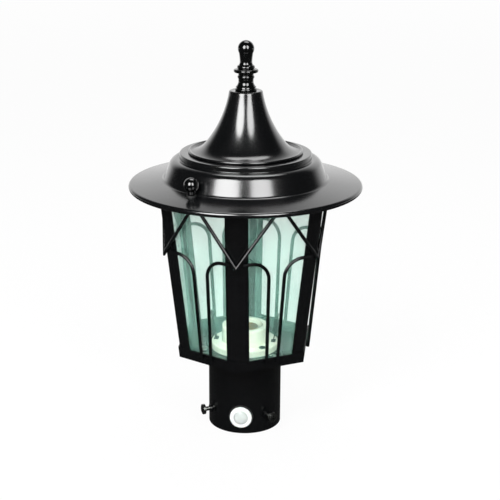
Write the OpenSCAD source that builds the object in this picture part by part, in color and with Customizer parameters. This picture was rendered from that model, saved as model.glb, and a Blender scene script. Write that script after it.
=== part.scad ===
// Post-top garden light: a six-sided glazed lantern under a spun roof, on a tube that fits over a post.
// Millimetres. +Z is up, the open end of the fitter tube is at z = 0, and a lantern corner faces -Y.

/* [Fitter] */
// Outside diameter of the fitter tube
fitter_d = 80; // [76:1:90]
// Wall of the fitter tube
fitter_wall = 2.5; // [1.5:0.1:4]
// Height from the tube's open end to the underside of the pan
fitter_h = 87.3; // [70:0.1:120]
// Width of the flange round the top of the tube
flange_w = 12; // [11:0.5:15]
// Thickness of that flange
flange_t = 2; // [1.5:0.1:4]
// Height of the clamp screws above the open end
clamp_z = 18.5; // [12:0.5:30]
// Nominal thread diameter of the clamp screws
clamp_screw_d = 5; // [4:0.5:6]
// Length of a clamp screw under its head
clamp_screw_len = 10; // [9:0.5:14]
// Diameter of the clamp screw heads
clamp_head_d = 11.5; // [9:0.5:13]

/* [Dusk sensor] */
// Diameter of the white sensor ring
sensor_d = 24; // [20:0.5:26]
// Height of the sensor's centre above the open end
sensor_z = 20; // [18:0.5:40]
// Diameter of the clear dome in the ring
dome_d = 15.6; // [10:0.2:17]

/* [Lantern body] */
// Corner radius of the body at the underside of the pan
corner_r_low = 76; // [70:0.5:82]
// Corner radius of the body at the top of the top ring
corner_r_high = 98.9; // [92:0.1:104]
// Height from the underside of the pan to the top of the top ring
body_h = 189.5; // [150:0.5:230]
// Thickness of the body's sheet metal
sheet = 1.2; // [0.8:0.1:1.6]
// Width of each of the two flanges of a corner post
post_w = 13.8; // [10:0.2:17]
// Outside radius of the fold along a corner post
fold_r = 2.4; // [1.8:0.1:4]
// Height of the pan's rim
rim_h = 12; // [9:0.5:18]
// Height of the top ring's skirt
ring_h = 15.8; // [13:0.1:20]
// Thickness of the glass panes
glass_t = 3; // [2:0.5:4]

/* [Wires] */
// Diameter of the ornamental wire
wire_d = 3.8; // [2.5:0.1:4.5]
// Height of a hook's top above the pan's underside
hook_top = 123.5; // [90:0.5:150]
// Radius of a hook's bend
hook_bend_r = 20; // [12:0.5:24]
// Distance of a hook's leg from the middle of the face, at the bend
hook_leg_high = 8.8; // [6:0.2:14]
// Distance of a hook's leg from the middle of the face, at the rim
hook_leg_low = 6.4; // [4:0.2:12]
// Height of a vee's point above the pan's underside
vee_point = 120.5; // [90:0.5:150]

/* [Roof] */
// Outside diameter of the brim
brim_d = 248; // [236:1:270]
// Fall of the brim, in degrees
brim_slope = 7.5; // [4:0.5:9]
// Radius of the rolled edge of the brim
lip_r = 3; // [2:0.1:4]
// Radius at which the dome's foot runs out on the brim
foot_r = 89.5; // [84:0.5:90]
// Inward lean of the dome's wall, in degrees
wall_lean = 22; // [8:0.5:26]
// Height of the dome's shoulder above its foot
dome_h = 22; // [18:0.1:40]
// Width of the ledge round the raised tier
ledge_w = 1.6; // [0.5:0.1:4]
// Height of the raised tier
tier_h = 6.2; // [4:0.1:8]
// Outside diameter of the spire's foot
spire_d = 121; // [110:0.5:124]
// Radius of the lower curve of the spire
spire_low_r = 20.4; // [16:0.2:26]
// Radius of the long upper curve of the spire
spire_high_r = 118; // [112:1:122]
// Radius of the brim's fixing studs from the middle
stud_r = 93; // [92:0.5:96]
// Diameter of the ball on a roof knob
knob_d = 15.4; // [13:0.2:17]

/* [Finial] */
// Diameter of the ball on top
ball_d = 17.2; // [15:0.2:19]
// Height of the ball's centre above the spire
ball_z = 43.2; // [42:0.2:56]
// Diameter of the thin disc round the neck
disc_d = 26; // [22:0.2:32]
// Diameter of the finial's base
finial_base_d = 23; // [22:0.5:30]

/* [Lamp holder] */
// Outside diameter of the porcelain barrel
barrel_d = 49; // [46:0.5:54]
// Diameter of the porcelain base
holder_base_d = 72; // [70:0.5:76]
// Height of the porcelain above the pan's floor
holder_h = 25.5; // [22:0.5:40]
// Inside diameter of the threaded shell
shell_bore_d = 26.4; // [26:0.1:27]

/* [Hidden] */
$fn = 72;
SIDES = 6;
half_turn = 180 / SIDES;
touch = 0.05;
fit_gap = 0.15;
run_gap = 0.05;
hole_gap = 0.3;
seat_gap = 0.3;

corner_slope = (corner_r_high - corner_r_low) / body_h;
corner_tilt = atan(corner_slope);
face_tilt = atan(corner_slope * cos(half_turn));
apothem_low = corner_r_low * cos(half_turn);
fold_turn = acos(pow(sin(face_tilt), 2) + pow(cos(face_tilt), 2) * cos(2 * half_turn));

z_pan = fitter_h;
z_floor = z_pan + sheet;
z_rim = z_pan + rim_h;
z_ring = z_pan + body_h;
z_ring_low = z_ring - ring_h;
z_ring_under = z_ring - sheet;
skin_out = fit_gap + sheet;

glass_gap = 0.2;
glass_lap = 7;
glass_out = sheet + glass_gap;
glass_in = glass_out + glass_t;
channel_gap = 0.6;
channel_in = glass_in + channel_gap;
channel_h = 9;
clip_w = 8;
clip_h = 11;
clip_t = 0.8;
clip_foot = 7;

wire_r = wire_d / 2;
wire_stand = wire_r + touch;
hook_start = 6.5;
hook_end_z = 5.7;
vee_end_u = 3.3;
vee_end_in = 5;

fitter_r = fitter_d / 2;
bore_r = fitter_r - fitter_wall;
clamp_az = [-63, 44, 170];
clamp_tip = 0.1;
clamp_shank_r = clamp_screw_d / 2 - run_gap;
clamp_head_h = 4;
boss_h = 1.6;
boss_r = clamp_screw_d / 2 + 1.7;
flange_screw_az = [47.6, 167.6, -72.4];
flange_screw_in = 7;
flange_screw_r = fitter_r + flange_w - flange_screw_in;
m4_r = 2;
m4_head_r = 3.8;
m4_head_h = 2.6;
m4_nut_af = 7;
m4_nut_h = 3.2;
cable_hole_d = 16;

gasket_lap = 1.4;
gasket_out = fitter_r + 1.4;
ring_front = gasket_out + 2;
ring_edge = 1;
dome_rise = 1.9;
cell_r = 5;
cell_h = 1.1;

roof_gap = 0.2;
foot_fillet = 4;
shoulder_fillet = 9;
tier_edge = 1.6;
tier_root = 0.8;
seat_r = corner_r_high + skin_out / cos(face_tilt) / cos(half_turn);
function brim_top(r) = z_ring + roof_gap + sheet / cos(brim_slope) + (seat_r - r) * tan(brim_slope);
brim_n = [sin(brim_slope), cos(brim_slope)];
lip_x = brim_d / 2 - lip_r;
lip_c = [lip_x, brim_top(lip_x + lip_r * brim_n[0]) - lip_r * brim_n[1]];
lip_turn = acos((lip_r - sheet) / lip_r);
foot_c = [foot_r, brim_top(foot_r)] + foot_fillet * brim_n;
z_shoulder = brim_top(foot_r) + dome_h;
wall_n = [cos(wall_lean), sin(wall_lean)];
wall_up = [-sin(wall_lean), cos(wall_lean)];
wall_foot = foot_c - foot_fillet * wall_n;
wall_len = (z_shoulder - shoulder_fillet + shoulder_fillet * wall_n[1] - wall_foot[1]) / wall_up[1];
shoulder_c = wall_foot + wall_len * wall_up - shoulder_fillet * wall_n;
z_tier = z_shoulder + tier_h;
tier_r = shoulder_c[0] - ledge_w - tier_root;

spire_bead = 1.4;
spire_join = 40;
spire_lean = 10;
spire_edge = 1.8;
z_spire_foot = z_tier + touch;
spire_low_c = [spire_d / 2 - spire_bead, z_spire_foot + sheet + spire_low_r];
spire_high_c = spire_low_c + (spire_high_r - spire_low_r) * [cos(spire_join), sin(spire_join)];
spire_edge_c = spire_high_c - (spire_high_r + spire_edge) * [cos(spire_lean), sin(spire_lean)];
z_spire = spire_edge_c[1] + spire_edge;

m6_r = 3;
m6_nut_af = 10;
m6_nut_h = 5;
washer_r = 9;
washer_t = 1.2;
finial_bore_h = 13;
stud_low = 2;

stud_az = [-30, 150];
m5_r = 2.5;
m5_head_r = 4;
m5_head_h = 1.5;
lug_t = 2;
lug_r = 6;
seal_r = 5;
seal_t = 0.8;
knob_neck_r = 3.9;
knob_neck_h = 4.6;
knob_ball_up = 10.3;
knob_grip = 8;

ear_az = [43.6, 223.6];
ear_r = 30;
holder_base_h = 7;
barrel_wall = 5.5;
cavity_h = 17;
shell_wall = 0.7;
shell_h = 14.2;
strip_az = [88, -92];
strip_r = 31;
strip_w = 7;
strip_t = 1;
strip_h = 32;
strip_lean = 10;

z_stud_top = brim_top(stud_r - seal_r) + seal_t;

// Half the width of a face at slant height w and depth d behind the posts' outer faces
function face_half(w, d = 0) = (apothem_low + w * sin(face_tilt) - d * cos(face_tilt)) * tan(half_turn);

// Slant height at which depth d of a face reaches height z
function slant(z, d = 0) = (z - z_pan - d * sin(face_tilt)) / cos(face_tilt);

// Points along an arc, from angle a0 to a1
function arc(c, r, a0, a1, n = 8) =
    [for (i = [0:n]) c + r * [cos(a0 + (a1 - a0) * i / n), sin(a0 + (a1 - a0) * i / n)]];

function reversed(list) = [for (i = [len(list) - 1:-1:0]) list[i]];

// Turns a shape drawn towards -Y to an azimuth
module at_az(az) {
    rotate([0, 0, az]) children();
}

// Plane of face i: X across the face, Y inwards, Z up the slant
module on_face(i) {
    at_az((2 * i - 1) * half_turn)
        translate([0, -apothem_low, z_pan])
            rotate([face_tilt, 0, 0]) children();
}

// Everything deeper than d behind all six faces, between two heights
module hex_inside(d, z0, z1) {
    reach = 2 * corner_r_high;
    intersection() {
        translate([0, 0, z0]) cylinder(h = z1 - z0, r = reach);
        intersection_for (i = [1:SIDES])
            on_face(i) translate([-reach, d, -reach]) cube([2 * reach, 2 * reach, 3 * reach]);
    }
}

module rod(a, b, d) {
    v = b - a;
    translate(a)
        rotate([0, acos(v[2] / norm(v)), atan2(v[1], v[0])])
            cylinder(h = norm(v), d = d, $fn = 24);
}

module hex_nut(af, h, hole_r) {
    difference() {
        cylinder(h = h, d = af / cos(30), $fn = 6);
        translate([0, 0, -1]) cylinder(h = h + 2, r = hole_r);
    }
}

// Pan head screw, head up, its seat at z = 0, with a cross recess
module pan_screw(head_r, head_h, shank_r, len) {
    slot = head_r * 0.28;
    difference() {
        union() {
            intersection() {
                cylinder(h = head_h, r = head_r);
                translate([0, 0, head_h - 2.2 * head_r]) sphere(r = 2.2 * head_r);
            }
            translate([0, 0, -len]) cylinder(h = len + touch, r = shank_r);
        }
        for (turn = [0, 90])
            rotate([0, 0, turn])
                translate([-head_r * 0.55, -slot / 2, head_h * 0.45])
                    cube([head_r * 1.1, slot, head_h]);
    }
}

// Fitter tube

module fitter_tube() {
    color("#17191a")
    difference() {
        union() {
            cylinder(h = fitter_h, r = fitter_r);
            translate([0, 0, fitter_h - flange_t]) cylinder(h = flange_t, r = fitter_r + flange_w);
            for (az = clamp_az)
                at_az(az) translate([0, 0, clamp_z]) rotate([90, 0, 0])
                    cylinder(h = fitter_r + boss_h, r = boss_r);
        }
        translate([0, 0, -1]) cylinder(h = fitter_h + 2, r = bore_r);
        for (az = clamp_az)
            at_az(az) translate([0, 0, clamp_z]) rotate([90, 0, 0])
                cylinder(h = fitter_r + 10, r = clamp_screw_d / 2);
        translate([0, 0, sensor_z]) rotate([90, 0, 0]) cylinder(h = fitter_r + 10, d = dome_d + 2 + 2 * hole_gap);
        for (az = flange_screw_az)
            at_az(az) translate([0, -flange_screw_r, 0]) cylinder(h = fitter_h + 1, r = m4_r + hole_gap);
    }
}

// Truss head clamp screw, backed out so that its tip is just inside the wall
module clamp_screw(i) {
    seat = bore_r + clamp_tip + clamp_screw_len;
    color("#8f9492")
    at_az(clamp_az[i - 1])
        translate([0, -seat, clamp_z]) rotate([90, 0, 0])
            pan_screw(clamp_head_d / 2, clamp_head_h, clamp_shank_r, clamp_screw_len);
}

// Dusk sensor in the front of the tube

module sensor_plug(r, front, back) {
    translate([0, -back, sensor_z]) rotate([90, 0, 0]) cylinder(h = front - back, r = r);
}

module sensor_gasket() {
    color("#0c0d0d")
    difference() {
        sensor_plug(sensor_d / 2 + gasket_lap, gasket_out, fitter_r - 4);
        translate([0, 0, -1]) cylinder(h = fitter_h, r = fitter_r);
        sensor_plug(dome_d / 2 + 1 + hole_gap, fitter_r + 5, 0);
    }
}

module sensor_ring() {
    color("#f2f4f2")
    difference() {
        union() {
            translate([0, -gasket_out, sensor_z]) rotate([90, 0, 0])
                rotate_extrude() {
                    square([sensor_d / 2 - ring_edge, ring_front - gasket_out]);
                    square([sensor_d / 2, ring_front - gasket_out - ring_edge]);
                    translate([sensor_d / 2 - ring_edge, ring_front - gasket_out - ring_edge])
                        circle(r = ring_edge, $fn = 32);
                }
            sensor_plug(dome_d / 2 + 1, gasket_out + touch, bore_r + clamp_tip);
        }
        sensor_plug(dome_d / 2, ring_front + 1, ring_front - 1.2);
        sensor_plug(cell_r + 1.2, ring_front + 1, bore_r + clamp_tip + 1);
    }
}

module sensor_dome() {
    dome_sphere = (pow(dome_d / 2, 2) + pow(dome_rise, 2)) / (2 * dome_rise);
    color("#dfeee6")
    intersection() {
        sensor_plug(dome_d / 2 - run_gap, ring_front + dome_rise, ring_front - 1.2);
        translate([0, -(ring_front + dome_rise - dome_sphere), sensor_z]) sphere(r = dome_sphere);
    }
}

module sensor_cell() {
    back = bore_r + clamp_tip + 1;
    color("#5d8f78")
    sensor_plug(cell_r, ring_front - 1.2 - 1.5, back);
}

// Pan, posts and top ring

module bottom_pan() {
    color("#151717")
    difference() {
        hex_inside(-skin_out, z_pan, z_rim);
        hex_inside(-fit_gap, z_floor, z_rim + 1);
        translate([0, 0, z_pan - 1]) cylinder(h = sheet + 2, d = cable_hole_d);
        for (az = flange_screw_az)
            at_az(az) translate([0, -flange_screw_r, z_pan - 1]) cylinder(h = sheet + 2, r = m4_r + hole_gap);
        for (az = ear_az)
            at_az(az) translate([0, -ear_r, z_pan - 1]) cylinder(h = sheet + 2, r = m4_r + run_gap);
    }
}

module flange_screws() {
    color("#9a9c98")
    for (az = flange_screw_az)
        at_az(az) translate([0, -flange_screw_r, z_floor])
            pan_screw(m4_head_r, m4_head_h, m4_r, sheet + flange_t + m4_nut_h + 1.5);
}

module flange_nuts() {
    color("#9a9c98")
    for (az = flange_screw_az)
        at_az(az) translate([0, -flange_screw_r, z_pan - flange_t - m4_nut_h])
            hex_nut(m4_nut_af, m4_nut_h, m4_r + run_gap);
}

// Section of a corner post, its fold at the origin and its flanges running back to both sides
module post_section() {
    lean = fold_turn / 2;
    c = [0, fold_r / cos(lean)];
    end = post_w * [cos(lean), sin(lean)];
    back = end + sheet * [-sin(lean), cos(lean)];
    polygon(concat([[-end[0], end[1]]], arc(c, fold_r, 270 - lean, 270 + lean, 6), [end, back],
        arc(c, fold_r - sheet, 270 + lean, 270 - lean, 6), [[-back[0], back[1]]]));
}

module corner_post(i) {
    post_top = z_ring_under - fit_gap;
    margin = 10;
    color("#151717")
    intersection() {
        translate([0, 0, z_floor]) cylinder(h = post_top - z_floor, r = 2 * corner_r_high);
        at_az(2 * (i - 1) * half_turn)
            translate([0, -corner_r_low, z_pan])
                rotate([corner_tilt, 0, 0])
                    translate([0, 0, -margin]) linear_extrude(body_h + 2 * margin) post_section();
    }
}

module lug(az) {
    at_az(az) translate([0, 0, z_ring - lug_t]) {
        translate([0, -stud_r, 0]) cylinder(h = lug_t, r = lug_r);
        translate([-lug_r, -stud_r, 0]) cube([2 * lug_r, stud_r - corner_r_high * cos(half_turn) - fit_gap, lug_t]);
    }
}

module top_ring() {
    color("#151717")
    difference() {
        union() {
            difference() {
                hex_inside(-skin_out, z_ring_low, z_ring);
                hex_inside(-fit_gap, z_ring_low - 1, z_ring_under);
            }
            hex_inside(channel_in, z_ring - channel_h, z_ring - touch);
            for (az = stud_az) lug(az);
        }
        hex_inside(channel_in + sheet, z_ring_low - 1, z_ring + 1);
        for (az = stud_az)
            at_az(az) translate([0, -stud_r, z_ring - lug_t - 1]) cylinder(h = lug_t + 2, r = m5_r + run_gap);
    }
}

// Glass

module glass_pane(i) {
    low = slant(z_floor + seat_gap, glass_out);
    high = slant(z_ring_under - seat_gap, glass_in);
    reach = glass_lap - post_w;
    color("#bfe6d6", 0.4)
    on_face(i) translate([0, glass_in, 0]) rotate([90, 0, 0])
        linear_extrude(glass_t)
            polygon([[-face_half(low) - reach, low], [face_half(low) + reach, low],
                [face_half(high) + reach, high], [-face_half(high) - reach, high]]);
}

// A bent clip on the pan's floor behind each pane
module glass_clips() {
    fall = tan(face_tilt);
    back = clip_t / cos(face_tilt);
    foot_y = (glass_in + glass_gap) / cos(face_tilt) - sheet * fall - apothem_low;
    color("#151717")
    for (i = [1:SIDES])
        at_az((2 * i - 1) * half_turn)
            translate([-clip_w / 2, foot_y, z_floor]) rotate([90, 0, 90]) linear_extrude(clip_w)
                polygon([[0, 0], [clip_foot, 0], [clip_foot, clip_t], [back - clip_t * fall, clip_t],
                    [back - clip_h * fall, clip_h], [-clip_h * fall, clip_h]]);
}

// Ornamental wires

// Half of an arch on a face: a straight end on the post, a bend and a leg that ends on the pan's rim
module wire_hook(i) {
    face = ceil(i / 2);
    side = i % 2;
    top = slant(z_pan + hook_top);
    rim = slant(z_rim);
    low = slant(z_pan + hook_end_z);
    bend_low = top - hook_bend_r;
    lean = atan((hook_leg_high - hook_leg_low) / (bend_low - rim));
    spread = asin(skin_out / (top - rim));
    centre = [hook_leg_high + hook_bend_r, bend_low];
    leg_top = centre + hook_bend_r * [-cos(lean), sin(lean)];
    leg_len = (leg_top[1] - low) / cos(lean);
    start = face_half(top) - hook_start;
    color("#121414")
    on_face(face) mirror([side, 0, 0])
        translate([0, -wire_stand, top]) rotate([-spread, 0, 0]) translate([0, 0, -top]) {
            translate([centre[0] - touch, 0, top]) rotate([0, 90, 0])
                cylinder(h = start - centre[0] + touch, r = wire_r, $fn = 24);
            translate([centre[0], 0, centre[1]]) rotate([90, 0, 0]) rotate([0, 0, 90])
                rotate_extrude(angle = 90 - lean, $fn = 96)
                    translate([hook_bend_r, 0]) circle(r = wire_r, $fn = 24);
            translate([leg_top[0] - leg_len * sin(lean), 0, leg_top[1] - leg_len * cos(lean)])
                rotate([0, lean, 0]) cylinder(h = leg_len + touch, r = wire_r, $fn = 24);
        }
}

// A vee whose point lies on a corner, mitred there, and whose arms rise to the top ring on both faces
module wire_vee(i) {
    low = slant(z_pan + vee_point, -wire_stand);
    high = slant(z_ring_low + vee_end_in);
    point = [face_half(low, -wire_stand), -wire_stand, low];
    end = [vee_end_u, -wire_stand - skin_out, high];
    past = point - 2 * wire_d * (end - point) / norm(end - point);
    reach = 3 * corner_r_high;
    color("#121414")
    for (side = [0, 1])
        intersection() {
            at_az(2 * (i - 1) * half_turn) mirror([side, 0, 0])
                translate([-touch, -reach, 0]) cube([reach, reach, 2 * z_ring]);
            on_face(i - side) mirror([1 - side, 0, 0]) rod(past, end, wire_d);
        }
}

// Roof

// Section of the brim and dome from the middle to the brim, inset by d
function roof_line(d) = concat(
    [[0, z_tier - d]],
    arc([tier_r - tier_edge, z_tier - tier_edge], tier_edge - d, 90, 0, 6),
    arc([tier_r + tier_root, z_shoulder + tier_root], tier_root + d, 180, 270, 6),
    arc(shoulder_c, shoulder_fillet - d, 90, wall_lean),
    arc(foot_c, foot_fillet + d, 180 + wall_lean, 270 - brim_slope));

// The rolled edge, from the top of the brim round to its underside
lip_line = arc(lip_c, lip_r, 90 - brim_slope, lip_turn - 270 - brim_slope, 20);

module roof_brim() {
    color("#101213")
    difference() {
        rotate_extrude($fn = 180)
            polygon(concat(roof_line(0), lip_line, reversed(roof_line(sheet))));
        translate([0, 0, z_tier - sheet - 1]) cylinder(h = sheet + 2, r = m6_r + hole_gap);
        for (az = stud_az)
            at_az(az) translate([0, -stud_r, z_ring]) cylinder(h = dome_h, r = m5_r + hole_gap + 0.2);
    }
}

// Section of the spire from its foot to the edge of its flat top, inset by d
function spire_line(d) = concat(
    arc(spire_low_c, spire_low_r + d, 270, 180 + spire_join, 10),
    arc(spire_high_c, spire_high_r + d, 180 + spire_join, 180 + spire_lean, 16),
    arc(spire_edge_c, spire_edge - d, spire_lean, 90, 6),
    [[m6_r + hole_gap, z_spire - d]]);

module roof_spire() {
    color("#101213")
    rotate_extrude($fn = 180) {
        polygon(concat(spire_line(0), reversed(spire_line(sheet))));
        translate([spire_d / 2 - spire_bead, z_spire_foot + spire_bead]) circle(r = spire_bead, $fn = 32);
    }
}

// Turned finial: base, cove, bead, neck, thin disc, bead, waist and ball
module finial() {
    base_h = ball_z / 18;
    neck_r = 0.31 * disc_d;
    cove_r = 0.27 * disc_d;
    step_r = 0.46 * finial_base_d;
    low_bead = [0.267 * disc_d, 0.324 * ball_z];
    low_bead_r = 0.046 * ball_z;
    disc_z = 0.43 * ball_z;
    disc_t = ball_z / 12;
    high_bead = [0.27 * disc_d, 0.56 * ball_z];
    high_bead_r = 0.053 * ball_z;
    waist_bend = 1.05 * ball_z;
    waist_c = [waist_bend + disc_d / 4, 0.683 * ball_z];
    color("#101213")
    translate([0, 0, z_spire])
    difference() {
        rotate_extrude($fn = 96) {
            square([finial_base_d / 2 - base_h / 2, base_h]);
            translate([finial_base_d / 2 - base_h / 2, base_h / 2]) circle(r = base_h / 2, $fn = 32);
            difference() {
                square([step_r, base_h + cove_r]);
                translate([neck_r + cove_r, base_h + cove_r]) circle(r = cove_r, $fn = 72);
            }
            square([neck_r, high_bead[1]]);
            translate(low_bead) circle(r = low_bead_r, $fn = 32);
            translate([0, disc_z]) square([disc_d / 2 - disc_t / 2, disc_t]);
            translate([disc_d / 2 - disc_t / 2, disc_z + disc_t / 2]) circle(r = disc_t / 2, $fn = 32);
            translate(high_bead) circle(r = high_bead_r, $fn = 32);
            polygon(concat([[0, disc_z]], arc(waist_c, waist_bend, 186.5, 169.3, 10), [[0, ball_z]]));
            intersection() {
                translate([0, ball_z]) circle(d = ball_d, $fn = 72);
                translate([0, ball_z - ball_d]) square(2 * ball_d);
            }
        }
        translate([0, 0, -1]) cylinder(h = finial_bore_h + 1, r = m6_r + run_gap);
    }
}

module finial_stud() {
    low = z_tier - sheet - washer_t - m6_nut_h - stud_low;
    color("#9a9c98")
    translate([0, 0, low]) cylinder(h = z_spire + finial_bore_h - seat_gap - low, r = m6_r);
}

module finial_washer() {
    color("#9a9c98")
    translate([0, 0, z_tier - sheet - washer_t])
        difference() {
            cylinder(h = washer_t, r = washer_r);
            translate([0, 0, -1]) cylinder(h = washer_t + 2, r = m6_r + run_gap);
        }
}

module finial_nut() {
    color("#9a9c98")
    translate([0, 0, z_tier - sheet - washer_t - m6_nut_h]) hex_nut(m6_nut_af, m6_nut_h, m6_r + run_gap);
}

// Studs that stand up from the ring's lugs, through the brim, into the knobs
module roof_studs() {
    color("#9a9c98")
    for (az = stud_az)
        at_az(az) translate([0, -stud_r, 0]) {
            translate([0, 0, z_ring - lug_t - m5_head_h]) cylinder(h = m5_head_h, r = m5_head_r);
            translate([0, 0, z_ring - lug_t - touch])
                cylinder(h = z_stud_top + knob_grip - z_ring + lug_t, r = m5_r);
        }
}

// Soft washer whose underside follows the slope of the brim
module knob_seals() {
    color("#0c0d0d")
    difference() {
        for (az = stud_az)
            at_az(az) translate([0, -stud_r, z_ring]) difference() {
                cylinder(h = z_stud_top - z_ring, r = seal_r);
                translate([0, 0, -1]) cylinder(h = z_stud_top - z_ring + 2, r = m5_r + hole_gap);
            }
        rotate_extrude($fn = 180)
            polygon(concat(roof_line(0), [lip_line[0], [lip_line[0][0], 0], [0, 0]]));
    }
}

// Ball knob with a neck and a blind bore for the stud
module roof_knob(i) {
    color("#101213")
    at_az(stud_az[i - 1]) translate([0, -stud_r, z_stud_top])
        difference() {
            union() {
                cylinder(h = knob_neck_h, r = knob_neck_r);
                translate([0, 0, knob_ball_up]) sphere(d = knob_d);
            }
            translate([0, 0, -1]) cylinder(h = knob_grip + 1 + 2 * seat_gap, r = m5_r + run_gap);
        }
}

// Lamp holder

module holder_body() {
    cavity_r = barrel_d / 2 - barrel_wall;
    edge = 1.5;
    color("#eef0e2")
    translate([0, 0, z_floor])
    difference() {
        rotate_extrude($fn = 96) {
            square([holder_base_d / 2, holder_base_h - edge]);
            square([holder_base_d / 2 - edge, holder_base_h]);
            translate([holder_base_d / 2 - edge, holder_base_h - edge]) circle(r = edge, $fn = 32);
            square([barrel_d / 2, holder_h - edge]);
            square([barrel_d / 2 - edge, holder_h]);
            translate([barrel_d / 2 - edge, holder_h - edge]) circle(r = edge, $fn = 32);
        }
        translate([0, 0, holder_h - cavity_h]) cylinder(h = cavity_h + 1, r = cavity_r);
        translate([0, 0, -1]) cylinder(h = 4, r = cavity_r);
        for (az = ear_az)
            at_az(az) translate([0, -ear_r, 0]) {
                translate([0, 0, -1]) cylinder(h = holder_base_h + 2, r = m4_r + hole_gap);
                translate([0, 0, holder_base_h - 1]) cylinder(h = 2, r = m4_head_r + hole_gap);
            }
    }
}

module holder_shell() {
    bore = shell_bore_d / 2;
    rim = barrel_d / 2 - barrel_wall - run_gap;
    color("#b8934a")
    translate([0, 0, z_floor + holder_h - cavity_h])
    difference() {
        union() {
            cylinder(h = shell_h, r = bore + shell_wall);
            cylinder(h = shell_wall, r = rim);
        }
        translate([0, 0, -1]) cylinder(h = shell_h + 2, r = bore);
    }
}

module holder_contact() {
    color("#c9a45a")
    translate([0, 0, z_floor + holder_h - cavity_h])
        rotate_extrude() {
            square([5, 1]);
            square([3, 2.6]);
        }
}

module holder_screws() {
    color("#3a3d3c")
    for (az = ear_az)
        at_az(az) translate([0, -ear_r, z_floor + holder_base_h - 1])
            pan_screw(m4_head_r, m4_head_h, m4_r, holder_base_h - 1 + sheet - seat_gap);
}

// Upright spring strips on the holder's base, one on each side of the barrel
module holder_strips() {
    foot = 5;
    half = strip_t / 2 / cos(strip_lean);
    low = strip_t * tan(strip_lean);
    high = strip_h * tan(strip_lean);
    color("#1b1d1d")
    for (az = strip_az)
        at_az(az) translate([-strip_w / 2, -strip_r, z_floor + holder_base_h])
            rotate([90, 0, 90]) linear_extrude(strip_w)
                polygon([[-foot / 2, 0], [foot / 2, 0], [foot / 2, strip_t], [half - low, strip_t],
                    [half - high, strip_h], [-half - high, strip_h], [-half - low, strip_t],
                    [-foot / 2, strip_t]]);
}

fitter_tube();
clamp_screw(1);  // clamp_screw_1
clamp_screw(2);  // clamp_screw_2
clamp_screw(3);  // clamp_screw_3
sensor_gasket();
sensor_ring();
sensor_dome();
sensor_cell();
bottom_pan();
flange_screws();
flange_nuts();
corner_post(1);  // corner_post_1
corner_post(2);  // corner_post_2
corner_post(3);  // corner_post_3
corner_post(4);  // corner_post_4
corner_post(5);  // corner_post_5
corner_post(6);  // corner_post_6
top_ring();
glass_pane(1);  // glass_pane_1
glass_pane(2);  // glass_pane_2
glass_pane(3);  // glass_pane_3
glass_pane(4);  // glass_pane_4
glass_pane(5);  // glass_pane_5
glass_pane(6);  // glass_pane_6
glass_clips();
wire_hook(1);  // wire_hook_1
wire_hook(2);  // wire_hook_2
wire_hook(3);  // wire_hook_3
wire_hook(4);  // wire_hook_4
wire_hook(5);  // wire_hook_5
wire_hook(6);  // wire_hook_6
wire_hook(7);  // wire_hook_7
wire_hook(8);  // wire_hook_8
wire_hook(9);  // wire_hook_9
wire_hook(10);  // wire_hook_10
wire_hook(11);  // wire_hook_11
wire_hook(12);  // wire_hook_12
wire_vee(1);  // wire_vee_1
wire_vee(2);  // wire_vee_2
wire_vee(3);  // wire_vee_3
wire_vee(4);  // wire_vee_4
wire_vee(5);  // wire_vee_5
wire_vee(6);  // wire_vee_6
roof_brim();
roof_spire();
finial();
finial_stud();
finial_washer();
finial_nut();
roof_studs();
roof_knob(1);  // roof_knob_1
roof_knob(2);  // roof_knob_2
knob_seals();
holder_body();
holder_shell();
holder_contact();
holder_screws();
holder_strips();
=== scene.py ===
import math

import bmesh
import bpy
from mathutils import Matrix, Vector


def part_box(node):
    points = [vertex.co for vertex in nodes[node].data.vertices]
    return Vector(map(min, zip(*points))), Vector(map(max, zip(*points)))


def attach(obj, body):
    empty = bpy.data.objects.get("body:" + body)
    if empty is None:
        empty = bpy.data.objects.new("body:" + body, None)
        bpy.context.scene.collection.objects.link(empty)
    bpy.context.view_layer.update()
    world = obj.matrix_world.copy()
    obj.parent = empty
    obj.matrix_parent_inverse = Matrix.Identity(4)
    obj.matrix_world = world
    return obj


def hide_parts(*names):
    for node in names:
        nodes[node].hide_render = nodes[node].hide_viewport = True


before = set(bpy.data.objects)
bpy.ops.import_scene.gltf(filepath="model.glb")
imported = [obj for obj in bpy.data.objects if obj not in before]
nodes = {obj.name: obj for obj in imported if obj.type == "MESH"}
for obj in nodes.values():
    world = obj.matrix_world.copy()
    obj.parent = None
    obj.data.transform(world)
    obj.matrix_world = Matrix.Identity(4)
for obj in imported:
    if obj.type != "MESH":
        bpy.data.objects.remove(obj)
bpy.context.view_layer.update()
mm = 0.001
print("frame loaded:", len(nodes), "nodes")


# Small tools

def toLinear(hexColour):
    parts = [int(hexColour[i:i + 2], 16) / 255 for i in (1, 3, 5)]
    return [c / 12.92 if c <= 0.04045 else ((c + 0.055) / 1.055) ** 2.4 for c in parts] + [1.0]


def addNode(tree, kind, settings=None, links=None):
    # settings: inputs by name or number, or plain properties; links: inputs fed by another node's socket
    node = tree.nodes.new(kind)
    for name, value in (settings or {}).items():
        if isinstance(name, int) or name in node.inputs:
            node.inputs[name].default_value = value
        else:
            setattr(node, name, value)
    for name, socket in (links or {}).items():
        tree.links.new(socket, node.inputs[name])
    return node


def newMaterial(name):
    material = bpy.data.materials.new(name)
    material.use_nodes = True
    material.node_tree.nodes.clear()
    return material, material.node_tree


def finishMaterial(tree, shader):
    addNode(tree, "ShaderNodeOutputMaterial", links={"Surface": shader.outputs[0]})


def grainSize(millimetres):
    # noise scale for features of this size, on coordinates in metres
    return 1000 / millimetres


def giveMaterial(obj, material):
    obj.data.materials.clear()
    obj.data.materials.append(material)
    for face in obj.data.polygons:
        face.material_index = 0


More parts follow.
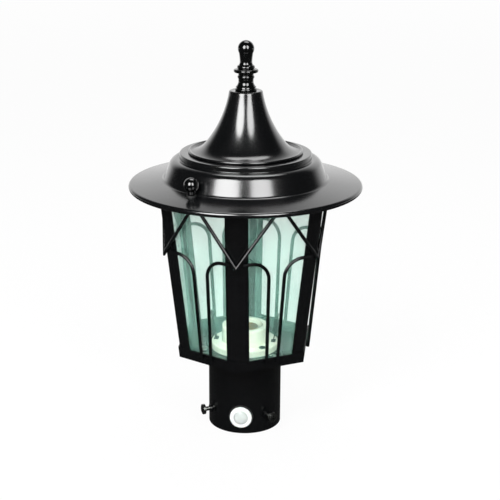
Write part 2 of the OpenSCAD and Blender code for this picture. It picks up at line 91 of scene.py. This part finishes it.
def arcPoints(centre, radius, start, end, steps):
    turns = [math.radians(start + (end - start) * i / steps) for i in range(steps + 1)]
    return [(centre[0] + radius * math.cos(turn), centre[1] + radius * math.sin(turn)) for turn in turns]


def newObject(name, shape):
    # a finished bmesh becomes an object of the scene
    mesh = bpy.data.meshes.new(name)
    shape.to_mesh(mesh)
    shape.free()
    obj = bpy.data.objects.new(name, mesh)
    bpy.context.scene.collection.objects.link(obj)
    return obj


mergeWithin = {"doubles": 1e-6, "slivers": 1e-7}  # metres


def spunPiece(name, outline, turns, at=(0, 0, 0)):
    # a closed outline of (radius, height) points in mm, spun round the axis and moved to its place
    shape = bmesh.new()
    points = [shape.verts.new((r * mm, 0, z * mm)) for r, z in outline]
    edges = [shape.edges.new(pair) for pair in zip(points, points[1:] + points[:1])]
    bmesh.ops.spin(shape, geom=points + edges, cent=(0, 0, 0), axis=(0, 0, 1), angle=math.tau,
                   steps=turns, use_merge=True)
    bmesh.ops.remove_doubles(shape, verts=shape.verts, dist=mergeWithin["doubles"])
    bmesh.ops.dissolve_degenerate(shape, edges=shape.edges, dist=mergeWithin["slivers"])
    bmesh.ops.recalc_face_normals(shape, faces=shape.faces)
    bmesh.ops.translate(shape, verts=shape.verts, vec=Vector(at))
    for face in shape.faces:
        face.smooth = True
    return newObject(name, shape)


# Finishes: sizes of patterns and depths of grain are in mm, and a slow cloud in most of them shifts the colour
# and makes the gloss a little smoother or duller

# Polyester powder coat, stoved: nearly black, smooth gloss, with the faint orange peel of a flowed powder
powderLook = {"colour": "#060708", "worn": "#0b0c0d", "cloud": 38, "roughness": 0.24, "smoother": 0.05,
              "duller": 0.06, "ior": 1.45, "peel": 1.6, "strength": 0.25, "depth": 0.012}


def powderCoat(look):
    material, tree = newMaterial("powderCoatBlack")
    place = addNode(tree, "ShaderNodeTexCoord").outputs["Object"]
    cloud = addNode(tree, "ShaderNodeTexNoise", {"Scale": grainSize(look["cloud"]), "Detail": 4.0},
                    {"Vector": place})
    colour = addNode(tree, "ShaderNodeMix", {"data_type": "RGBA", 6: toLinear(look["colour"]),
                     7: toLinear(look["worn"])}, {0: cloud.outputs["Fac"]})
    gloss = addNode(tree, "ShaderNodeMapRange", {"To Min": look["roughness"] - look["smoother"],
                    "To Max": look["roughness"] + look["duller"]}, {"Value": cloud.outputs["Fac"]})
    peel = addNode(tree, "ShaderNodeTexNoise", {"Scale": grainSize(look["peel"]), "Detail": 2.0},
                   {"Vector": place})
    bump = addNode(tree, "ShaderNodeBump", {"Strength": look["strength"], "Distance": look["depth"] * mm},
                   {"Height": peel.outputs["Fac"]})
    shader = addNode(tree, "ShaderNodeBsdfPrincipled", {"IOR": look["ior"]}, {
        "Base Color": colour.outputs[2], "Roughness": gloss.outputs[0], "Normal": bump.outputs[0]})
    finishMaterial(tree, shader)
    return material


# Black enamel on spun sheet: a slightly soft mirror, with the spinning marks just showing as rings
enamelLook = {"name": "satinEnamelOnSpunSheet", "colour": "#050607", "hazed": "#090a0b", "cloud": 45,
              "roughness": 0.17, "smoother": 0.03, "duller": 0.06, "ior": 1.7, "ring": 2.2, "strength": 0.15,
              "depth": 0.01}
# The same enamel on small turnings: glossier, with sharp highlights and finer rings
glossLook = {"name": "glossEnamelOnTurnings", "colour": "#030404", "hazed": "#060707", "cloud": 45,
             "roughness": 0.09, "smoother": 0.03, "duller": 0.06, "ior": 1.6, "ring": 1.2, "strength": 0.15,
             "depth": 0.004}


def spunEnamel(look):
    material, tree = newMaterial(look["name"])
    place = addNode(tree, "ShaderNodeTexCoord").outputs["Object"]
    apart = addNode(tree, "ShaderNodeSeparateXYZ", links={"Vector": place})
    flat = addNode(tree, "ShaderNodeCombineXYZ", links={"X": apart.outputs["X"], "Y": apart.outputs["Y"]})
    radius = addNode(tree, "ShaderNodeVectorMath", {"operation": "LENGTH"}, {0: flat.outputs[0]})
    ringPlace = addNode(tree, "ShaderNodeCombineXYZ", links={
        "X": radius.outputs["Value"], "Y": apart.outputs["Z"]})
    rings = addNode(tree, "ShaderNodeTexNoise", {"Scale": grainSize(look["ring"]), "Detail": 2.0},
                    {"Vector": ringPlace.outputs[0]})
    cloud = addNode(tree, "ShaderNodeTexNoise", {"Scale": grainSize(look["cloud"]), "Detail": 4.0},
                    {"Vector": place})
    colour = addNode(tree, "ShaderNodeMix", {"data_type": "RGBA", 6: toLinear(look["colour"]),
                     7: toLinear(look["hazed"])}, {0: cloud.outputs["Fac"]})
    gloss = addNode(tree, "ShaderNodeMapRange", {"To Min": look["roughness"] - look["smoother"],
                    "To Max": look["roughness"] + look["duller"]}, {"Value": cloud.outputs["Fac"]})
    bump = addNode(tree, "ShaderNodeBump", {"Strength": look["strength"], "Distance": look["depth"] * mm},
                   {"Height": rings.outputs["Fac"]})
    shader = addNode(tree, "ShaderNodeBsdfPrincipled", {"IOR": look["ior"]}, {
        "Base Color": colour.outputs[2], "Roughness": gloss.outputs[0], "Normal": bump.outputs[0]})
    finishMaterial(tree, shader)
    return material


# Plated and pressed metals: bare and cloudy, with a gloss that varies more than on paint
plateLook = {"cloud": 3, "smoother": 0.06, "duller": 0.1}


def platedSteel(name, colour, dark, roughness):
    material, tree = newMaterial(name)
    place = addNode(tree, "ShaderNodeTexCoord").outputs["Object"]
    cloud = addNode(tree, "ShaderNodeTexNoise", {"Scale": grainSize(plateLook["cloud"]), "Detail": 5.0},
                    {"Vector": place})
    tone = addNode(tree, "ShaderNodeMix", {"data_type": "RGBA", 6: toLinear(colour), 7: toLinear(dark)},
                   {0: cloud.outputs["Fac"]})
    gloss = addNode(tree, "ShaderNodeMapRange", {"To Min": roughness - plateLook["smoother"],
                    "To Max": roughness + plateLook["duller"]}, {"Value": cloud.outputs["Fac"]})
    shader = addNode(tree, "ShaderNodeBsdfPrincipled", {"Metallic": 1.0},
                     {"Base Color": tone.outputs[2], "Roughness": gloss.outputs[0]})
    finishMaterial(tree, shader)
    return material


# Float glass: clear and nearly flat, with a faint sea green film on its faces that veils the dark behind it
glassLook = {"clear": "#fbfffd", "film": "#a8edd9", "share": 0.1, "thinnest": 0.7, "thickest": 1.3, "ior": 1.52,
             "filmRoughness": 0.5, "wave": 70, "strength": 0.1, "depth": 0.02}


def floatGlass(look):
    material, tree = newMaterial("filmedFloatGlass")
    place = addNode(tree, "ShaderNodeTexCoord").outputs["Object"]
    wave = addNode(tree, "ShaderNodeTexNoise", {"Scale": grainSize(look["wave"]), "Detail": 1.0},
                   {"Vector": place})
    bump = addNode(tree, "ShaderNodeBump", {"Strength": look["strength"], "Distance": look["depth"] * mm},
                   {"Height": wave.outputs["Fac"]})
    clear = addNode(tree, "ShaderNodeBsdfPrincipled", {
        "Base Color": toLinear(look["clear"]), "IOR": look["ior"], "Roughness": 0.0,
        "Transmission Weight": 1.0}, {"Normal": bump.outputs[0]})
    film = addNode(tree, "ShaderNodeBsdfPrincipled", {"Base Color": toLinear(look["film"]),
                   "Roughness": look["filmRoughness"]})
    share = addNode(tree, "ShaderNodeMapRange", {
        "From Min": 0.3, "From Max": 0.7, "To Min": look["share"] * look["thinnest"],
        "To Max": look["share"] * look["thickest"]}, {"Value": wave.outputs["Fac"]})
    pane = addNode(tree, "ShaderNodeMixShader", links={
        0: share.outputs[0], 1: clear.outputs[0], 2: film.outputs[0]})
    # lamps shine straight through, so the pane throws no dark shadow
    through = addNode(tree, "ShaderNodeBsdfTransparent", {"Color": toLinear(look["clear"])})
    path = addNode(tree, "ShaderNodeLightPath")
    finishMaterial(tree, addNode(tree, "ShaderNodeMixShader", links={
        0: path.outputs["Is Shadow Ray"], 1: pane.outputs[0], 2: through.outputs[0]}))
    return material


# Moulded or fired finishes: one base tone that clouds into a second, over a soft surface grain
mouldLook = {"cloud": 14, "smoother": 0.05, "duller": 0.08, "ior": 1.5, "strength": 0.3, "coatRoughness": 0.06,
             "scatter": 2}


def mouldedFinish(name, colour, second, roughness, grain=2.0, depth=0.01, coat=0.0, through=0.0, soft=0.0):
    material, tree = newMaterial(name)
    place = addNode(tree, "ShaderNodeTexCoord").outputs["Object"]
    cloud = addNode(tree, "ShaderNodeTexNoise", {"Scale": grainSize(mouldLook["cloud"]), "Detail": 4.0},
                    {"Vector": place})
    tone = addNode(tree, "ShaderNodeMix", {"data_type": "RGBA", 6: toLinear(colour), 7: toLinear(second)},
                   {0: cloud.outputs["Fac"]})
    fine = addNode(tree, "ShaderNodeTexNoise", {"Scale": grainSize(grain), "Detail": 3.0}, {"Vector": place})
    bump = addNode(tree, "ShaderNodeBump", {"Strength": mouldLook["strength"], "Distance": depth * mm},
                   {"Height": fine.outputs["Fac"]})
    gloss = addNode(tree, "ShaderNodeMapRange", {"To Min": roughness - mouldLook["smoother"],
                    "To Max": roughness + mouldLook["duller"]}, {"Value": cloud.outputs["Fac"]})
    shader = addNode(tree, "ShaderNodeBsdfPrincipled", {
        "IOR": mouldLook["ior"], "Coat Weight": coat, "Coat Roughness": mouldLook["coatRoughness"],
        "Transmission Weight": through, "Subsurface Weight": soft,
        "Subsurface Scale": mouldLook["scatter"] * mm},
        {"Base Color": tone.outputs[2], "Roughness": gloss.outputs[0], "Normal": bump.outputs[0]})
    finishMaterial(tree, shader)
    return material


blackPowder = powderCoat(powderLook)
satinEnamel = spunEnamel(enamelLook)
glossEnamel = spunEnamel(glossLook)
paleGlass = floatGlass(glassLook)
# Black nickel on steel: dark, cloudy metal with sharp highlights
darkPlate = platedSteel("blackNickelPlate", "#5c6060", "#3c4040", 0.2)
# The same on the clamp screws, but paler: the random pale patches between dark ones are painted highlight, standing
# in for the bright speckles on the heads
highlightSpeckledPlate = platedSteel("blackNickelPaintedSpeckles", "#8a8c86", "#44484a", 0.26)
# Zinc plate on steel fasteners: pale grey and a little dull
zincPlate = platedSteel("zincPlate", "#c3c6c2", "#a4a7a1", 0.3)
# Brass, pressed from strip: satin yellow, browner where it has tarnished
pressedBrass = platedSteel("pressedBrass", "#c9a254", "#a37f3a", 0.3)
# Polycarbonate, moulded: clean white and semi-gloss, with a little light in its edges
whiteMoulding = mouldedFinish("whitePolycarbonate", "#f3f5f3", "#e6e9e6", 0.3, soft=0.1)
# Opal acrylic, moulded: glossy and milky, so the cell behind it shows only as a tint
opalLens = mouldedFinish("opalAcrylicLens", "#fafcfb", "#eef5f2", 0.12, through=0.5, depth=0.004)
# Light cell potted in resin: pale green and smooth
greenCell = mouldedFinish("pottedCell", "#c2d6cc", "#8fb3a3", 0.35)
# Nitrile rubber, moulded: black and dull, with a fine grain
blackRubber = mouldedFinish("nitrileRubber", "#0d0e0e", "#171818", 0.6, grain=0.8)
# Porcelain, glazed and fired: cream under a glassy coat
glazedPorcelain = mouldedFinish("glazedPorcelain", "#eff0de", "#e4e5cf", 0.16, coat=0.5)
print("finishes made")

# The finish of each node that isn't powder coated, by how its name starts
otherFinishes = {
    # the clamp screws take the plate whose pale patches are painted highlight
    "glass_pane": paleGlass, "clamp_screw": highlightSpeckledPlate, "flange_screws": zincPlate, "flange_nuts": zincPlate,
    "finial_stud": zincPlate, "finial_washer": zincPlate, "finial_nut": zincPlate, "roof_studs": zincPlate,
    "holder_shell": pressedBrass, "holder_contact": pressedBrass, "holder_body": glazedPorcelain,
    "holder_screws": darkPlate, "holder_strips": darkPlate, "sensor_gasket": blackRubber,
    "knob_seals": blackRubber, "sensor_ring": whiteMoulding, "sensor_dome": opalLens, "sensor_cell": greenCell,
}
for name, node in nodes.items():
    chosen = [finish for start, finish in otherFinishes.items() if name.startswith(start)]
    giveMaterial(node, chosen[0] if chosen else blackPowder)


# Roof: brim, dome and raised tier in one spinning, to the same section as the solid but with smooth curves
roof = {"sheet": 1.2, "brimR": 124.0, "lipR": 3.0, "fall": 7.5, "footR": 89.5, "footFillet": 4.0,
        "wallLean": 22.0, "domeH": 22.0, "shoulder": 9.0, "ledge": 1.6, "tierH": 6.2, "tierEdge": 1.6,
        "tierRoot": 0.8, "hole": 3.3, "ringTop": 276.8, "seatR": 100.467, "gap": 0.2}


def brimTop(r):
    # height of the brim's upper face, which rests on the top ring at the seat
    return (roof["ringTop"] + roof["gap"] + roof["sheet"] / math.cos(math.radians(roof["fall"]))
            + (roof["seatR"] - r) * math.tan(math.radians(roof["fall"])))


fallRad, leanRad = math.radians(roof["fall"]), math.radians(roof["wallLean"])
brimNormal = Vector((math.sin(fallRad), math.cos(fallRad)))
wallNormal = Vector((math.cos(leanRad), math.sin(leanRad)))
wallUp = Vector((-math.sin(leanRad), math.cos(leanRad)))
lipX = roof["brimR"] - roof["lipR"]
lipCentre = Vector((lipX, brimTop(lipX + roof["lipR"] * brimNormal.x) - roof["lipR"] * brimNormal.y))
lipTurn = math.degrees(math.acos((roof["lipR"] - roof["sheet"]) / roof["lipR"]))
footCentre = Vector((roof["footR"], brimTop(roof["footR"]))) + roof["footFillet"] * brimNormal
shoulderZ = brimTop(roof["footR"]) + roof["domeH"]
wallFoot = footCentre - roof["footFillet"] * wallNormal
wallLength = (shoulderZ - roof["shoulder"] + roof["shoulder"] * wallNormal.y - wallFoot.y) / wallUp.y
shoulderCentre = wallFoot + wallLength * wallUp - roof["shoulder"] * wallNormal
tierZ = shoulderZ + roof["tierH"]
tierR = shoulderCentre.x - roof["ledge"] - roof["tierRoot"]


def roofLine(inset):
    # from the hole in the tier out to the foot of the dome, this far below the upper face
    edge, root = roof["tierEdge"], roof["tierRoot"]
    return ([(roof["hole"], tierZ - inset)]
            + arcPoints((tierR - edge, tierZ - edge), edge - inset, 90, 0, 10)
            + arcPoints((tierR + root, shoulderZ + root), root + inset, 180, 270, 8)
            + arcPoints(shoulderCentre, roof["shoulder"] - inset, 90, roof["wallLean"], 16)
            + arcPoints(footCentre, roof["footFillet"] + inset, 180 + roof["wallLean"], 270 - roof["fall"], 16))


rolledLip = arcPoints(lipCentre, roof["lipR"], 90 - roof["fall"], lipTurn - 270 - roof["fall"], 30)
spunRoof = spunPiece("spun_roof", roofLine(0) + rolledLip + roofLine(roof["sheet"])[::-1], turns=180)
giveMaterial(spunRoof, satinEnamel)
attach(spunRoof, "lantern")
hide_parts("roof_brim")

# Spire: a wide flare over a rolled bead, then a long slow curve up to the finial
spire = {"footR": 60.5, "bead": 1.4, "beadTurn": 118, "footTurn": 264, "lowR": 20.4, "highR": 118.0, "join": 40,
         "lean": 10, "edge": 1.8, "lift": 0.05}
spireFoot = tierZ + spire["lift"]
lowCentre = Vector((spire["footR"] - spire["bead"], spireFoot + roof["sheet"] + spire["lowR"]))
joinDir = Vector((math.cos(math.radians(spire["join"])), math.sin(math.radians(spire["join"]))))
leanDir = Vector((math.cos(math.radians(spire["lean"])), math.sin(math.radians(spire["lean"]))))
highCentre = lowCentre + (spire["highR"] - spire["lowR"]) * joinDir
edgeCentre = highCentre - (spire["highR"] + spire["edge"]) * leanDir
spireTop = edgeCentre.y + spire["edge"]


def spireLine(inset):
    # from the foot up to the hole for the stud, this far inside the outer face
    return (arcPoints(lowCentre, spire["lowR"] + inset, spire["footTurn"], 180 + spire["join"], 20)
            + arcPoints(highCentre, spire["highR"] + inset, 180 + spire["join"], 180 + spire["lean"], 28)[1:]
            + arcPoints(edgeCentre, spire["edge"] - inset, spire["lean"], 90, 8)
            + [(roof["hole"], spireTop - inset)])


beadCentre = (spire["footR"] - spire["bead"], spireFoot + spire["bead"])
rolledBead = arcPoints(beadCentre, spire["bead"], -spire["beadTurn"], spire["beadTurn"], 20)
spunSpire = spunPiece("spun_spire", rolledBead + spireLine(0) + spireLine(roof["sheet"])[::-1], turns=160)
giveMaterial(spunSpire, satinEnamel)
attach(spunSpire, "lantern")
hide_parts("roof_spire")
print("roof spun")

# Finial, turned in one piece: every step of the outline is a turned bead, cove or neck. Pairs are radius and
# height in mm, with the height above the spire, apart from the pairs of turns, which are degrees.
finial = {
    "bore": 3.05, "boreH": 13.0,
    "base": 11.5, "baseBead": 1.2, "baseStep": (9.9, 2.6),
    "coveCentre": (15, 9.4), "coveR": 7, "coveTurns": (232, 180), "neck": (8, 12.3),
    "lowBeadCentre": (6.9, 14), "lowBeadR": 2.0, "lowBeadTurns": (-48, 52),
    "collar": [(8.1, 15.9), (8.1, 18.2), (8.4, 18.6), (11.0, 18.6)],
    "discCentre": (11.2, 20.4), "discEdge": 1.8, "discTop": (8.2, 22.2),
    "highBeadCentre": (7, 24.2), "highBeadR": 2.3, "highBeadTurns": (-50, 50),
    "waist": [(7.6, 26.3), (6.8, 27.6), (6.5, 29.5), (6.6, 32), (6.9, 35)],
    "ballR": 8.6, "ballZ": 43.2, "ballMeetsR": 7.35,
}
ballMeet = math.degrees(math.asin(finial["ballMeetsR"] / finial["ballR"]))
finialOutline = (
    [(finial["bore"], 0.0)]
    + arcPoints((finial["base"] - finial["baseBead"], finial["baseBead"]), finial["baseBead"], -90, 90, 10)
    + [finial["baseStep"]]
    + arcPoints(finial["coveCentre"], finial["coveR"], *finial["coveTurns"], 14)
    + [finial["neck"]]
    + arcPoints(finial["lowBeadCentre"], finial["lowBeadR"], *finial["lowBeadTurns"], 10)
    + finial["collar"]
    + arcPoints(finial["discCentre"], finial["discEdge"], -90, 90, 12)
    + [finial["discTop"]]
    + arcPoints(finial["highBeadCentre"], finial["highBeadR"], *finial["highBeadTurns"], 12)
    + finial["waist"]
    + arcPoints((0, finial["ballZ"]), finial["ballR"], -90 + ballMeet, 90, 24)
    + [(0, finial["boreH"]), (finial["bore"], finial["boreH"])])
turnedFinial = spunPiece("turned_finial", [(r, z + spireTop) for r, z in finialOutline], turns=96)
giveMaterial(turnedFinial, glossEnamel)
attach(turnedFinial, "lantern")
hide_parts("finial")

# Ball knobs, one on each stud: heights are above the knob's foot
knob = {"bore": 2.55, "grip": 8.6, "footR": 3.6, "neckR": 3.9, "neckFrom": 0.3, "neckTo": 2.4, "ballR": 7.7,
        "ballUp": 10.3, "ballMeetsR": 4.4, "ballMeetsUp": 3.6, "studR": 93.0, "at": (-30, 150)}
meet = math.degrees(math.asin(knob["ballMeetsR"] / knob["ballR"]))
knobOutline = ([(knob["bore"], 0), (knob["footR"], 0), (knob["neckR"], knob["neckFrom"]),
                (knob["neckR"], knob["neckTo"]), (knob["ballMeetsR"], knob["ballMeetsUp"])]
               + arcPoints((0, knob["ballUp"]), knob["ballR"], -90 + meet, 90, 24)
               + [(0, knob["grip"]), (knob["bore"], knob["grip"])])
for index, azimuth in enumerate(knob["at"], 1):
    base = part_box("roof_knob_%d" % index)[0][2] / mm
    turn = math.radians(azimuth)
    ballKnob = spunPiece("ball_knob_%d" % index, [(r, z + base) for r, z in knobOutline], turns=64,
                         at=(knob["studR"] * mm * math.sin(turn), -knob["studR"] * mm * math.cos(turn), 0))
    giveMaterial(ballKnob, glossEnamel)
    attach(ballKnob, "roof_knob_%d" % index)
    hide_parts("roof_knob_%d" % index)
print("finial and knobs turned")

# Camera, from the fit to the photograph's 500 by 500 frame: metres, radians, and the focal length in pixels
view = {"distance": 1.2648, "height": 0.6045, "azimuth": 0.1014, "yaw": 0.004, "down": 0.3103, "roll": 0.0051,
        "focal": 1227.9, "frame": 500, "sensor": 36, "farthest": 100}
heading = view["yaw"] - view["azimuth"]
ahead = Vector((math.sin(heading) * math.cos(view["down"]), math.cos(heading) * math.cos(view["down"]),
                -math.sin(view["down"])))
right = Vector((math.cos(heading), -math.sin(heading), 0))
up = right.cross(ahead)
rolledRight = math.cos(view["roll"]) * right + math.sin(view["roll"]) * up
rolledUp = -math.sin(view["roll"]) * right + math.cos(view["roll"]) * up
lens = bpy.data.cameras.new("camera")
lens.sensor_width = view["sensor"]
lens.lens = view["focal"] * view["sensor"] / view["frame"]
lens.clip_end = view["farthest"]
camera = bpy.data.objects.new("camera", lens)
camera.matrix_world = Matrix((
    (rolledRight.x, rolledUp.x, -ahead.x, view["distance"] * math.sin(view["azimuth"])),
    (rolledRight.y, rolledUp.y, -ahead.y, -view["distance"] * math.cos(view["azimuth"])),
    (rolledRight.z, rolledUp.z, -ahead.z, view["height"]),
    (0, 0, 0, 1)))
bpy.context.scene.collection.objects.link(camera)
bpy.context.scene.camera = camera

# Studio: a white floor that runs into a white sweep. Gloss mirrors the sweep as white behind the object, and
# the floor and room in front of it and at its sides as dark.
studio = {
    "floor": 30.0, "matt": 0.8, "whiteness": 0.93, "whiteFrom": 1.0, "whiteBy": 6.0,  # whiter far off
    "below": 0.05, "sweepFrom": 0.4, "sweepTo": 1.6,  # the floor in mirrors, by metres rearward
    "fill": 0.45, "front": 0.03, "back": 1.35, "turnFrom": 0.5, "turnTo": 0.85,  # the room, front to back
    "dimFrom": 0.42, "dimTo": 0.6, "dim": 0.6,  # the room in mirrors, by how far up
}


def seenRay(path):
    # camera rays, and rays that have passed through glass, see plain white
    return addNode(path.id_data, "ShaderNodeMath", {"operation": "MAXIMUM"},
                   {0: path.outputs["Is Camera Ray"], 1: path.outputs["Is Transmission Ray"]}).outputs[0]


floorShape = bmesh.new()
bmesh.ops.create_grid(floorShape, x_segments=1, y_segments=1, size=studio["floor"] / 2)
floor = newObject("floor", floorShape)
paper, tree = newMaterial("whitePaper")
path = addNode(tree, "ShaderNodeLightPath")
place = addNode(tree, "ShaderNodeTexCoord").outputs["Object"]
away = addNode(tree, "ShaderNodeVectorMath", {"operation": "LENGTH"}, {0: place})
whiteness = addNode(tree, "ShaderNodeMapRange", {"From Min": studio["whiteFrom"], "From Max": studio["whiteBy"],
                    "To Min": studio["whiteness"], "To Max": 1.0}, {"Value": away.outputs["Value"]})
share = addNode(tree, "ShaderNodeMath", {"operation": "MULTIPLY"}, {0: seenRay(path), 1: whiteness.outputs[0]})
matt = addNode(tree, "ShaderNodeBsdfDiffuse", {"Color": [studio["matt"]] * 3 + [1]})
glow = addNode(tree, "ShaderNodeEmission", {"Color": (1, 1, 1, 1), "Strength": 1.0})
apart = addNode(tree, "ShaderNodeSeparateXYZ", links={"Vector": place})
rear = addNode(tree, "ShaderNodeMapRange", {"interpolation_type": "SMOOTHSTEP", "From Min": studio["sweepFrom"],
               "From Max": studio["sweepTo"], "To Min": studio["below"], "To Max": studio["back"]},
               {"Value": apart.outputs["Y"]})
shade = addNode(tree, "ShaderNodeEmission", {"Color": (1, 1, 1, 1)}, {"Strength": rear.outputs[0]})
mirrored = addNode(tree, "ShaderNodeMixShader",
                   links={0: path.outputs["Is Glossy Ray"], 1: matt.outputs[0], 2: shade.outputs[0]})
finishMaterial(tree, addNode(tree, "ShaderNodeMixShader",
                             links={0: share.outputs[0], 1: mirrored.outputs[0], 2: glow.outputs[0]}))
giveMaterial(floor, paper)

# The room, which gloss mirrors as the sweep and matt surfaces receive as a plain fill
world = bpy.data.worlds.new("studioRoom")
world.use_nodes = True
bpy.context.scene.world = world
tree = world.node_tree
tree.nodes.clear()
path = addNode(tree, "ShaderNodeLightPath")
direction = addNode(tree, "ShaderNodeTexCoord").outputs["Generated"]
towards = addNode(tree, "ShaderNodeSeparateXYZ", links={"Vector": direction})
behind = addNode(tree, "ShaderNodeMapRange", {
    "interpolation_type": "SMOOTHSTEP", "From Min": studio["turnFrom"], "From Max": studio["turnTo"],
    "To Min": studio["front"], "To Max": studio["back"]}, {"Value": towards.outputs["Y"]})
seen = addNode(tree, "ShaderNodeBackground", {"Color": (1, 1, 1, 1), "Strength": 1.0})
fill = addNode(tree, "ShaderNodeBackground", {"Color": (1, 1, 1, 1), "Strength": studio["fill"]})
dimmed = addNode(tree, "ShaderNodeMapRange", {
    "interpolation_type": "SMOOTHSTEP", "From Min": studio["dimFrom"], "From Max": studio["dimTo"],
    "To Min": 1.0, "To Max": studio["dim"]}, {"Value": towards.outputs["Z"]})
strength = addNode(tree, "ShaderNodeMath", {"operation": "MULTIPLY"},
                   {0: behind.outputs[0], 1: dimmed.outputs[0]})
sweep = addNode(tree, "ShaderNodeBackground", {"Color": (1, 1, 1, 1)}, {"Strength": strength.outputs[0]})
mirrored = addNode(tree, "ShaderNodeMixShader",
                   links={0: path.outputs["Is Glossy Ray"], 1: fill.outputs[0], 2: sweep.outputs[0]})
blend = addNode(tree, "ShaderNodeMixShader",
                links={0: seenRay(path), 1: mirrored.outputs[0], 2: seen.outputs[0]})
addNode(tree, "ShaderNodeOutputWorld", links={"Surface": blend.outputs[0]})

# Lamps: two oval diffusers that only gloss mirrors, two smaller lamps behind them that only light matt
# surfaces, and one overhead that does both. The azimuth is from straight in front, positive to the right, and
# the rise is from the horizon, both in degrees as seen from the aim.
aim = Vector((0, 0, 0.3))
lamps = {
    "diffuserLeft": {"azimuth": -22, "rise": 27, "away": 1.7, "size": (1.0, 1.35), "power": 46, "seenBy": "gloss"},
    "diffuserRight": {"azimuth": 29, "rise": 27, "away": 1.7, "size": (0.84, 1.35), "power": 30, "seenBy": "gloss"},
    "lampLeft": {"azimuth": -22, "rise": 38, "away": 1.8, "size": (0.4, 1.1), "power": 26, "seenBy": "matt"},
    "lampRight": {"azimuth": 27, "rise": 36, "away": 1.8, "size": (0.3, 1.1), "power": 16, "seenBy": "matt"},
    "lampOver": {"azimuth": 175, "rise": 72, "away": 1.9, "size": (1.4, 0.9), "power": 16, "seenBy": "both"},
}
for name, setting in lamps.items():
    lamp = bpy.data.lights.new(name, "AREA")
    lamp.shape = "ELLIPSE"
    lamp.size, lamp.size_y = setting["size"]
    lamp.energy = setting["power"]
    turn, rise = math.radians(setting["azimuth"]), math.radians(setting["rise"])
    out = Vector((math.sin(turn) * math.cos(rise), -math.cos(turn) * math.cos(rise), math.sin(rise)))
    stand = bpy.data.objects.new(name, lamp)
    stand.location = aim + setting["away"] * out
    stand.rotation_euler = out.to_track_quat("Z", "Y").to_euler()
    stand.visible_diffuse = setting["seenBy"] != "gloss"
    stand.visible_glossy = setting["seenBy"] != "matt"
    bpy.context.scene.collection.objects.link(stand)
bpy.context.scene.view_settings.view_transform = "Standard"
print("studio set")
